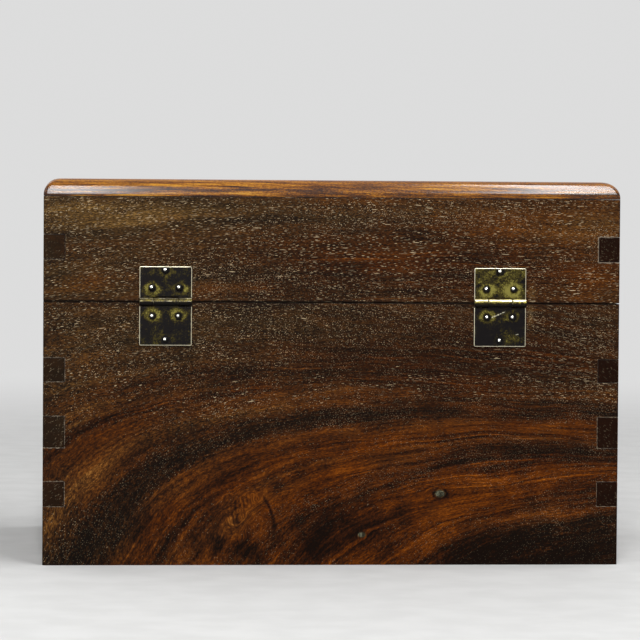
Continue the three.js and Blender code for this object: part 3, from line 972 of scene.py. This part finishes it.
def joint_wax(points, side, bands, amounts):
    """1 or so at the points of a board that lie on its joints' outlines, and 0 elsewhere."""
    along, up, _ = points.T
    from_shoulder = np.abs(along) - min(side.plain_end, side.band_end)
    at_mark = np.any([np.abs(up - mark) < seam_reach for pair in bands for mark in pair], axis=0)
    across = at_mark & (from_shoulder > -seam_reach)
    bare = within(up, bands) == (side.band_end < side.plain_end)
    upright = (np.abs(from_shoulder) < seam_reach) & bare
    return (across | upright) * np.where(along < 0, *amounts)


def add_wall_board(node, side, low, high, widths, end_wood, figure, step=4.0, fine=((), ())):
    """A finger-jointed board, drawn along its side, upwards and outwards."""
    is_lid = node.startswith("lid")
    bands = [(a + side.shrink, b - side.shrink) for a, b in finger_bands(low, high, widths)]
    parting = low if is_lid else high
    parting_shade_start = parting + math.copysign(parting_shade_reach, (low + high) / 2 - parting)
    ends = (side.plain_end, side.band_end)
    outer_end = max(ends)
    end_marks = [sign * end for end in ends for sign in (-1, 1)]
    height_marks = [parting_shade_start, *(mark for pair in bands for mark in pair)]
    lines = [
        grid_lines(-outer_end, outer_end, step, end_marks, fine[0]),
        grid_lines(low, high, step, height_marks, fine[1]),
        np.array([side.reach - board_thickness, side.reach - board_thickness / 2, side.reach]),
    ]
    mid_u, mid_v = cell_middles(lines)
    limit = np.where(within(mid_v, bands), side.band_end, side.plain_end)
    flat = np.abs(mid_u)[:, None] < limit
    solid = np.repeat(flat[:, :, None], len(lines[2]) - 1, axis=2)
    points, quads, facing = cell_skin(lines, solid)

    outside, inside, end_grain, joint = range(4)
    numbers = [(end_grain, outside, outside if way > 0 else inside)[axis] for axis, way in facing]
    mesh = new_mesh(node, points, quads, numbers)
    seam_height = high if is_lid else math.inf

    def on_corner(vertex):
        across, _, out = vertex.co
        return abs(abs(across) - outer_end) < close_by and abs(out - side.reach) < close_by

    with edited(mesh) as bm:
        corner = [edge for edge in bm.edges if all(on_corner(vertex) for vertex in edge.verts)]
        round_edges(bm, corner, corner_ease, 3)
        for face in round_edges(bm, sharp_edges(bm), joint_chamfer, 2):
            height = face.calc_center_median().y
            at_rim = min(abs(height - low), abs(height - high)) < 2 * joint_chamfer
            if not at_rim or abs(height - seam_height) < 2 * joint_chamfer:
                face.material_index = joint
    points = mesh_points(mesh)
    wood = figure(points)
    outer = step_between(points[:, 2], side.reach - board_thickness / 2, side.reach)
    # Painted shade: the outside darkens towards the parting line of lid and case
    wood.lightness -= 0.3 * outer * step_between(np.abs(points[:, 1] - parting), parting_shade_reach, 0)
    wood.write(mesh)
    wax = joint_wax(points, side, bands, seam_amounts.get(node, (0.6, 0.6)))
    write_attribute(mesh, "seam", wax * outer)
    mesh.transform(side.matrix())
    add_piece(node, mesh, (outside_wood, inside_wood, end_wood, joint_line))


def add_walls():
    fine_x = ((pin_knot[0], 5, 0.5), (pale_knot[0], 3, 0.5), (burl[0] + 4, 18, 0.6))
    fine_z = ((pin_knot[1], 4, 0.5), (pale_knot[1], 3, 0.5), (burl[1], 12, 0.6))
    close_up = {
        "case_back_board": (case_back_figure, 1.25, (fine_x, fine_z)),
        "lid_back_board": (lid_back_figure, 2.0),
    }
    for group, low, high, widths in (
        ("case", case_low[2], case_high[2], case_finger_widths),
        ("lid", lid_low[2], lid_high[2], lid_finger_widths),
    ):
        for number, (side_name, side) in enumerate(sides.items()):
            node = f"{group}_{side_name}_board"
            seed = 100 * number + len(group)
            plain = (lambda points, seed=seed: straight_figure(points, seed, 0.38),)
            end_wood = right_end_wood if side_name == "right" else left_end_wood
            add_wall_board(node, side, low, high, widths, end_wood, *close_up.get(node, plain))


def add_top_board():
    """The lid's top: its edges round over, and its corners soften as they rise."""
    half_sizes = np.array([half_width, half_depth])
    flat_halves = half_sizes - top_round_radius
    near_corner = (0.5, 1.1, 1.8, 2.6, 3.5, 5.0, 8.0)
    xs, ys = [
        grid_lines(-half, half, 5, [sign * (half - gap) for gap in near_corner for sign in (-1, 1)])
        for half in flat_halves
    ]
    grid = np.stack(np.meshgrid(xs, ys, indexing="ij"), -1).reshape(-1, 2)
    table = np.arange(len(grid)).reshape(len(xs), len(ys))
    rim = np.concatenate([table[:-1, 0], table[-1, :-1], table[:0:-1, -1], table[0, :0:-1]])

    def ring_points(flat, inset, height, radius):
        """Points of the top's flat, spread to a ring of the rounded edge."""
        reach = half_sizes - inset
        spread = flat * reach / flat_halves
        gaps = reach - np.abs(spread)
        softened = soften_corner(gaps[:, 0], gaps[:, 1], radius)
        moved = np.sign(spread) * (reach - np.stack(softened, 1))
        return np.column_stack([moved, np.full(len(flat), height)])

    def belt(first, second):
        return np.stack([first, second, np.roll(second, -1), np.roll(first, -1)], 1)

    def sheet(table):
        quads = np.stack([table[:-1, :-1], table[1:, :-1], table[1:, 1:], table[:-1, 1:]], -1)
        return quads.reshape(-1, 4)

    points = [ring_points(grid, top_round_radius, top_high[2], top_corner_radius)]
    faces = [sheet(table)]
    previous = rim
    total = len(grid)
    for step in range(top_arc_steps - 1, -1, -1):
        angle = step / top_arc_steps * math.pi / 2
        inset = top_round_radius * (1 - math.cos(angle))
        height = top_high[2] - top_round_radius * (1 - math.sin(angle))
        radius = corner_ease + (top_corner_radius - corner_ease) * inset / top_round_radius
        points.append(ring_points(grid[rim], inset, height, radius))
        current = np.arange(total, total + len(rim))
        faces.append(belt(previous, current))
        previous = current
        total += len(rim)
    points.append(ring_points(grid, 0, top_low[2], corner_ease))
    faces.append(belt(previous, rim + total))
    underside = sheet(table + total)[:, ::-1]

    outside, inside, joint = range(3)
    numbers = [outside] * sum(map(len, faces)) + [inside] * len(underside)
    faces = np.concatenate([*faces, underside])
    mesh = new_mesh("lid_top_board", np.concatenate(points), faces, numbers, smooth=True)
    with edited(mesh) as bm:
        for face in bm.faces:
            face.smooth = face.material_index == outside
        for face in round_edges(bm, sharp_edges(bm), joint_chamfer, 1):
            face.material_index = joint
    top_figure(mesh_points(mesh)).write(mesh)
    mesh.transform(Matrix.Scale(MM, 4))
    add_piece("lid_top_board", mesh, (top_wood, inside_wood, joint_line))


def add_bottom_panel():
    """A flat panel with a tongue all round, which the boards' grooves hold."""
    field = [half - board_thickness - panel_play for half in (half_width, half_depth)]
    lines = [grid_lines(-edge, edge, 6, (-flat, flat)) for edge, flat in zip(panel_high[:2], field)]
    lines.append(np.array([panel_low[2], panel_low[2] + tongue_thickness, panel_high[2]]))
    mid_x, mid_y = [np.abs(middles) for middles in cell_middles(lines)]
    solid = np.ones((len(mid_x), len(mid_y), 2), bool)
    solid[:, :, 1] = (mid_x < field[0])[:, None] & (mid_y < field[1])
    points, quads, _ = cell_skin(lines, solid)
    mesh = new_mesh("case_bottom_panel", points, quads)
    with edited(mesh) as bm:
        round_edges(bm, sharp_edges(bm), edge_round, 2)
    straight_figure(mesh_points(mesh), 91, 0.55, 0.4, 0.4, 0.1).write(mesh)
    mesh.transform(Matrix.Scale(MM, 4))
    add_piece("case_bottom_panel", mesh, (panel_wood,))


# Hinges, hasp and staple

def place_of(node):
    low, high = corners(node)
    return (low + high) / 2


def half_width_of(node):
    low, high = corners(node)
    return (high[0] - low[0]) / 2


roll_close = 2 * math.pi - math.acos((knuckle_bore - roll_seam) / knuckle_radius)
hinge_half = half_width_of("hinge_left_lid_leaf")
hasp_half = half_width_of("hasp_leaf")
strap_shoulder = strap_length - strap_taper
slot_low = slot_near - slot_half
slot_high = slot_far + slot_half
lip_outer_radius = lip_radius + leaf_thickness

# Golden glows about a leaf's nails. Those of the pair lie a little nearer to the knuckles than the heads.
pair_glow = 0.62
pair_glow_shift = 0.8
last_glow = 0.3
glow_aspect = 1.25
glow_past_head = 0.6
glow_reach = 1.5
# A knuckle given this much painted highlight is pale all along its top, and one given less has two pale
# lines of painted highlight
broad_highlight = 0.9


@dataclass
class Leaf:
    """A rolled leaf about its pin, with signs that turn it to face its wood."""
    node: str
    pin: np.ndarray
    signs: tuple
    half: float
    height: float
    knuckles: list
    nails: LeafNails = None
    nail: Nail = None
    golden: float = 0.2
    # How strong the knuckle's painted highlight is; it also makes the knuckle more golden
    knuckle_rub: float = 0.6
    seed: int = 1
    strap: bool = False
    scratches: tuple = ()

    def world(self, local):
        """Points about the pin, with the wood towards +Y and the leaf rising, in the box's place."""
        return (np.asarray(local) * np.array(self.signs) + self.pin) * MM

    def nail_places(self):
        return self.nails.places() if self.nails else []

    def half_at(self, rise):
        """Half the plate's width at a height above the pin."""
        if not self.strap:
            return np.full_like(rise, self.half)
        turn = np.linspace(0, 1, 60)
        heights = strap_shoulder * (1 - turn) ** 2 + 2 * (strap_length - lip_radius) * turn * (1 - turn)
        heights += strap_length * turn**2
        halves = self.half * (1 - turn**2) + lip_width / 2 * turn**2
        return np.interp(rise, heights, halves)

    def lines(self):
        """The lines of the flat strip that the leaf is rolled from: across, along and through it."""
        across = [self.half - leaf_rim, leaf_rim - self.half]
        across += [end for span in self.knuckles for end in span]
        along = [self.height - leaf_rim]
        lip = []
        if self.strap:
            turns = [math.sin(math.radians(angle)) for angle in (0, 22, 42, 62, 90)]
            across += [sign * slot_half * turn for turn in turns for sign in (-1, 1)]
            along = [slot_low, slot_near, slot_far, slot_high, strap_shoulder]
            along += [strap_length - 0.5, strap_length - 1.5]
            lip = np.linspace(strap_length, strap_length + lip_sweep * lip_outer_radius, 15)[1:]
        roll = np.linspace(-roll_close * knuckle_radius, 0, 41)
        plate = grid_lines(plate_start, self.height, leaf_step, along)
        return [
            grid_lines(-self.half, self.half, leaf_step, across),
            np.concatenate([roll, [plate_start / 2], plate, lip]),
            np.array([0, leaf_thickness]),
        ]

    def shape(self, points):
        """Rolls the flat strip: across, along the strip, and out from the wood."""
        across, rise, out = points.T
        if self.strap:
            in_slot = np.abs(across) < slot_half + close_by
            arc = np.sqrt(np.clip(slot_half**2 - across**2, 0, None))
            far = in_slot & (np.abs(rise - slot_high) < close_by)
            near = in_slot & (np.abs(rise - slot_low) < close_by)
            share = self.half_at(np.clip(rise, plate_start, strap_length)) / self.half
            across = np.where(rise > strap_shoulder, across * share, across)
            rise = np.where(far, slot_far + arc, np.where(near, slot_near - arc, rise))
        else:
            gaps = soften_corner(self.half - np.abs(across), self.height - rise, leaf_corner_radius)
            on_plate = rise > plate_start + 1
            across = np.where(on_plate, np.sign(across) * (self.half - gaps[0]), across)
            rise = np.where(on_plate, self.height - gaps[1], rise)
        radius = knuckle_radius - out
        angle = np.minimum(rise, 0) / knuckle_radius
        depth = radius * np.cos(angle)
        height = np.where(rise < 0, radius * np.sin(angle), rise)
        if self.strap:
            curl = (rise - strap_length) / lip_outer_radius
            lip = lip_outer_radius - out
            curled = rise > strap_length
            depth = np.where(curled, knuckle_bore - lip_radius + lip * np.cos(curl), depth)
            height = np.where(curled, strap_length + lip * np.sin(curl), height)
        return np.stack([across, depth, height], 1)

    def wear(self, local):
        """Rubbed edges, golden glows about the nails, a painted highlight along the knuckle top and painted
        shade on its underside.
        """
        across, depth, height = local.T
        face_up = height * self.signs[2] / knuckle_radius
        top_gap = self.height + (2 if self.strap else 0) - height
        side_gap = self.half_at(np.clip(height, plate_start, None)) - np.abs(across)
        edge = step_between(np.minimum(side_gap, top_gap), 0.5, 0.15)
        spots = np.stack([across, height, depth], 1)
        golden = self.golden + 0.16 * waves(spots, self.seed, 9) + 0.08 * waves(spots, self.seed + 1, 4)
        for x, z in self.nail_places():
            glow, shift = (pair_glow, pair_glow_shift)
            if z == self.nails.last_height:
                glow, shift = (last_glow, 0)
            apart = np.hypot(across - x, height - z)
            glow_apart = np.hypot((across - x) / glow_aspect, height - z + shift)
            golden += glow * band(glow_apart, self.nail.head_radius + glow_past_head, glow_reach)
            golden -= 0.5 * band(apart, self.nail.head_radius, 0.4)
        # Painted highlight along the knuckle's top: one broad band, or two pale lines
        pale = step_between(face_up, 0.25, 0.85)
        if self.knuckle_rub < broad_highlight:
            pale = 1.5 * band(face_up, 0.85, 0.1) + 1.1 * band(face_up, 0.22, 0.08)
        # Painted shade: the knuckle's underside is less golden and darker
        roll_golden_and_shade = 0.6 * self.knuckle_rub - 0.6 * step_between(face_up, 0.3, -0.5)
        roll_highlight = self.knuckle_rub * pale + 0.1 * waves(spots, self.seed + 2, 5)
        on_roll = height < plate_start - 0.2
        golden = np.where(on_roll, roll_golden_and_shade, golden)
        rubbed = np.where(on_roll, roll_highlight, edge)
        for start, end in self.scratches:
            rubbed += 0.9 * band(distance_to_line(across, height, start, end), 0, scratch_reach)
        return golden, rubbed


def write_wear_and_painted_light(mesh, golden, rubbed):
    """How golden and how rubbed the brass is at each point, with painted highlights and painted shade in
    these.
    """
    write_attribute(mesh, "wear", np.stack([golden, rubbed, 0 * rubbed], 1))


def distance_to_line(x, y, start, end):
    """How far points are from a straight line between two places."""
    run = np.subtract(end, start)
    share = np.clip(((x - start[0]) * run[0] + (y - start[1]) * run[1]) / (run @ run), 0, 1)
    return np.hypot(x - start[0] - share * run[0], y - start[1] - share * run[1])


def add_leaf(leaf):
    lines = leaf.lines()
    mid_u, mid_v = cell_middles(lines)
    flat = (mid_v > plate_start) | within(mid_u, leaf.knuckles)[:, None]
    if leaf.strap:
        flat &= ~((np.abs(mid_u) < slot_half)[:, None] & within(mid_v, [(slot_low, slot_high)]))
    points, quads, _ = cell_skin(lines, flat[:, :, None])
    mesh = new_mesh(leaf.node, leaf.shape(points), quads, smooth=True)
    with edited(mesh) as bm:
        bmesh.ops.remove_doubles(bm, verts=bm.verts, dist=1e-4)
        bmesh.ops.recalc_face_normals(bm, faces=bm.faces)
        round_edges(bm, sharp_edges(bm, 50), leaf_edge_round, 2)
    local = mesh_points(mesh)
    write_wear_and_painted_light(mesh, *leaf.wear(local))
    mesh.vertices.foreach_set("co", leaf.world(local).ravel())
    mesh.update()
    piece = add_piece(leaf.node, mesh, (leaf_brass,))
    piece.modifiers.new("even_shading", "WEIGHTED_NORMAL").keep_sharp = True
    stem = leaf.node.removesuffix("_leaf")
    for number, (x, z) in enumerate(leaf.nail_places(), 1):
        add_nail(f"{stem}_nail_{number}", leaf, x, z, leaf.seed * 10 + number)


def skin(rings):
    """Quads between rings of points, with a cap at each end."""
    count, around = rings.shape[:2]
    numbers = np.arange(count * around).reshape(count, around)
    turned = np.roll(numbers, -1, axis=1)
    quads = np.stack([numbers[:-1], turned[:-1], turned[1:], numbers[1:]], -1).reshape(-1, 4)
    return rings.reshape(-1, 3), [*quads, numbers[0][::-1], numbers[-1]]


def turned_rings(profile, around):
    """Rings about the third axis from (radius, height) pairs."""
    angles = np.arange(around) / around * 2 * math.pi
    radii, heights = np.array(profile).T[:, :, None]
    return np.stack([radii * np.cos(angles), radii * np.sin(angles), heights + 0 * angles], -1)


def add_nail(node, leaf, x, z, seed):
    """A hand-set nail: a domed head with a few hammered flats, and a shank that tapers to a point."""
    nail = leaf.nail
    head = nail.head_radius
    random = np.random.default_rng(seed)
    profile = [
        (nail_tip_radius, -nail.length),
        (nail.shank_radius, nail.point - nail.length),
        (nail.shank_radius, -0.05),
        (nail.shank_radius, 0),
        (head * 0.93, 0),
        (head, nail.rim * 0.4),
    ]
    dome = nail.head_height - nail.rim
    for step in range(10):
        angle = step / 9 * math.pi / 2
        profile.append((max(head * math.cos(angle), nail_tip_radius), nail.rim + dome * math.sin(angle)))
    rings = turned_rings(profile, 28)
    points = rings.reshape(-1, 3)
    is_head = points[:, 2] > -0.01
    lobes = 1 + 0.025 * np.sin(2 * np.arctan2(points[:, 1], points[:, 0]) + random.uniform(0, 6))
    points[is_head, :2] *= lobes[is_head, None]
    for _ in range(hammered_flats):
        tilt = random.uniform(0.15, 0.6)
        turn = random.uniform(0, 2 * math.pi)
        normal = [math.sin(tilt) * math.cos(turn), math.sin(tilt) * math.sin(turn), math.cos(tilt)]
        flat_height = nail.head_height * random.uniform(0.95, 1.05) * math.hypot(1, 0.5 * tilt)
        over = np.clip(points @ normal - flat_height, 0, None) * is_head
        points -= 0.8 * over[:, None] * normal
    points[:, 2] = np.minimum(points[:, 2], nail.head_height)
    points, faces = skin(rings)
    across, up, top = points.T
    local = np.stack([x + across, knuckle_bore - head_seat - top, z + up], 1)
    mesh = new_mesh(node, leaf.world(local), faces, smooth=True)
    # A pale crown up and to the left on each head: partly worn metal, partly a painted highlight
    off_highlight_crown = np.hypot(across + 0.25 * head * leaf.signs[0], up - 0.25 * head * leaf.signs[2])
    worn_and_highlight_crown = step_between(off_highlight_crown, 0.62 * head, 0.25 * head) * step_between(top, 0, 0.3)
    base_ring = band(top, 0.12 * nail.head_height, 0.12) * (0.5 + 0.5 * waves(points, seed, 1.5))
    golden = 0.3 * leaf.golden - 0.3 * step_between(top, 0.45 * nail.head_height, 0)
    write_wear_and_painted_light(mesh, golden, 0.8 * worn_and_highlight_crown + 0.4 * base_ring)
    add_piece(node, mesh, (nail_brass,))


def add_pin(node):
    """A pin along X with chamfered ends, as long as its knuckles and a little over."""
    half = half_width_of(node)
    end = [
        (pin_radius * 0.3, half),
        (pin_radius * 0.55, half),
        (pin_radius, half - pin_chamfer),
        (pin_radius, half - pin_chamfer - 0.2),
    ]
    profile = [(radius, -along) for radius, along in end] + end[::-1]
    points, faces = skin(turned_rings(profile, 32))
    placed = (np.roll(points, 1, axis=1) + place_of(node)) * MM
    mesh = new_mesh(node, placed, faces, smooth=True)
    write_wear_and_painted_light(mesh, np.full(len(points), 0.5), np.full(len(points), 0.4))
    add_piece(node, mesh, (leaf_brass,))


def add_staple():
    """A wire bent into a U, whose legs are driven into the case one above the other."""
    middle_z = place_of("staple")[2]
    bend = staple_leg_spacing / 2
    straight = staple_reach - staple_wire_radius - bend
    leg = (-staple_leg_depth, -2, -0.5, 0.4, straight * 0.5)
    path = [(along, -bend, 0.0) for along in leg]
    for step in range(25):
        angle = step / 24 * math.pi
        path.append((straight + bend * math.sin(angle), -bend * math.cos(angle), angle))
    path += [(along, bend, math.pi) for along in reversed(leg)]
    sideways, radial, _ = turned_rings([(staple_wire_radius, 0)], 24)[0].T
    rings = []
    for out, up, turn in path:
        depth = half_depth + out + radial * math.sin(turn)
        rings.append(np.stack([sideways, depth, middle_z + up - radial * math.cos(turn)], 1))
    points, faces = skin(np.array(rings))
    mesh = new_mesh("staple", points * MM, faces, smooth=True)
    rubbed = 0.7 * step_between(points[:, 1] - half_depth, 4, 7.5)
    write_wear_and_painted_light(mesh, 0.3 + rubbed, rubbed)
    add_piece("staple", mesh, (leaf_brass,))


def end_spans(half, end):
    return [(-half, end - half), (half - end, half)]


def middle_span(half, end):
    reach = half - end - knuckle_gap
    return [(-reach, reach)]


def add_hinge(side, lid_golden, case_golden, knuckle_rub, seed, scratches=()):
    lid_leaf = f"hinge_{side}_lid_leaf"
    case_leaf = f"hinge_{side}_case_leaf"
    pin = place_of(f"hinge_{side}_pin")
    lid_height = corners(lid_leaf)[1][2] - pin[2]
    case_height = pin[2] - corners(case_leaf)[0][2]
    add_leaf(Leaf(
        lid_leaf, pin, (1, 1, 1), hinge_half, lid_height, end_spans(hinge_half, hinge_end_knuckle),
        lid_leaf_nails, lid_nail, lid_golden, knuckle_rub, seed,
    ))
    add_leaf(Leaf(
        case_leaf, pin, (-1, 1, -1), hinge_half, case_height, middle_span(hinge_half, hinge_end_knuckle),
        case_leaf_nails, case_nail, case_golden, knuckle_rub, seed + 3, scratches=scratches,
    ))
    add_pin(f"hinge_{side}_pin")


def add_hardware():
    add_hinge("left", -0.02, 0.0, 0.5, 11)
    add_hinge("right", 0.45, -0.06, 1.0, 18, hinge_scratches)
    pin = place_of("hasp_pin")
    height = corners("hasp_leaf")[1][2] - pin[2]
    add_leaf(Leaf(
        "hasp_leaf", pin, (-1, -1, 1), hasp_half, height, end_spans(hasp_half, hasp_end_knuckle),
        hasp_leaf_nails, lid_nail, 0.4, 0.7, 31,
    ))
    add_leaf(Leaf(
        "hasp_strap", pin, (1, -1, -1), strap_width / 2, strap_length,
        middle_span(hasp_half, hasp_end_knuckle), golden=0.35, knuckle_rub=0.7, seed=37, strap=True,
    ))
    add_pin("hasp_pin")
    add_staple()


# Floor, backdrop and lamps

backdrop_level = 0.72
fill_level = 0.14
floor_radius = 8.0
floor_sides = 96


def grey(level):
    return (level, level, level, 1)


def seen_directly(graph):
    """1 for rays that show the backdrop itself: seen, mirrored or through glass."""
    ray = graph.node("ShaderNodeLightPath")
    return graph.largest(*[ray.output(f"Is {kind} Ray") for kind in ("Camera", "Glossy", "Transmission")])


def add_stage():
    world = bpy.data.worlds.new("studio")
    bpy.context.scene.world = world
    graph = Graph(world, "ShaderNodeOutputWorld")
    shown = graph.blend(seen_directly(graph), grey(fill_level), grey(backdrop_level))
    graph.finish(graph.node("ShaderNodeBackground", {"Color": shown}))

    graph = Graph(bpy.data.materials.new("floor"))
    place = graph.place()
    away = graph.node("ShaderNodeVectorMath", {0: place}, "Value", operation="LENGTH")
    far = away.window(0.45, 1.7) * seen_directly(graph)
    speckle = graph.noise(place, 3, 0.5, 40).window(0.3, 0.7)
    pale = graph.blend(speckle, (0.5, 0.5, 0.495, 1), (0.54, 0.54, 0.535, 1))
    near_inputs = {"Base Color": pale, "Roughness": 0.6, "Specular IOR Level": 0.2}
    near = graph.node("ShaderNodeBsdfPrincipled", near_inputs)
    glow = graph.node("ShaderNodeEmission", {"Color": grey(backdrop_level), "Strength": 1.0})
    material = graph.finish(graph.node("ShaderNodeMixShader", {0: far, 1: near, 2: glow}))
    rim = turned_rings([(floor_radius, 0)], floor_sides)[0]
    mesh = new_mesh("floor", rim, [range(floor_sides)])
    mesh.materials.append(material)
    floor = add_object("floor", mesh)


def add_softbox(name, place, target, width, height, radiance):
    lamp = bpy.data.lights.new(name, "AREA")
    lamp.shape = "RECTANGLE"
    lamp.size = width
    lamp.size_y = height
    lamp.energy = math.pi * width * height * radiance
    softbox = add_object(name, lamp)
    softbox.location = place
    softbox.rotation_euler = (Vector(target) - Vector(place)).to_track_quat("-Z", "Y").to_euler()
    softbox.visible_camera = False


def add_strip(name, x_low, x_high, foot, head, radiance):
    """A long softbox that leans over the box from its foot to its head, each a y and a z."""
    foot, head = [Vector(((x_low + x_high) / 2, *end)) for end in (foot, head)]
    middle = (foot + head) / 2
    facing = (head - foot).cross(Vector((1, 0, 0)))
    add_softbox(name, middle, middle + facing, x_high - x_low, (head - foot).length, radiance)


def add_lamps():
    middle = (0, 0, 0.12)
    add_softbox("left_key", (-0.95, -0.95, 1.05), middle, 0.9, 0.9, 2.8)
    add_softbox("right_overhead", (1.3, 0.3, 1.6), middle, 1.3, 1.6, 1.6)
    add_strip("left_strip", -0.175, -0.1, (-1.75, 0.42), (-0.8, 1.75), 36)
    add_strip("right_strip", 0.29, 0.4, (-1.5, 0.95), (0.3, 1.95), 30)
    add_softbox("front_fill", (-1.3, 1.6, 1.4), middle, 1.6, 1.4, 2.0)


bpy.context.scene.view_settings.view_transform = "Standard"
add_camera()
add_stage()
add_lamps()
add_walls()
add_top_board()
add_bottom_panel()
add_hardware()
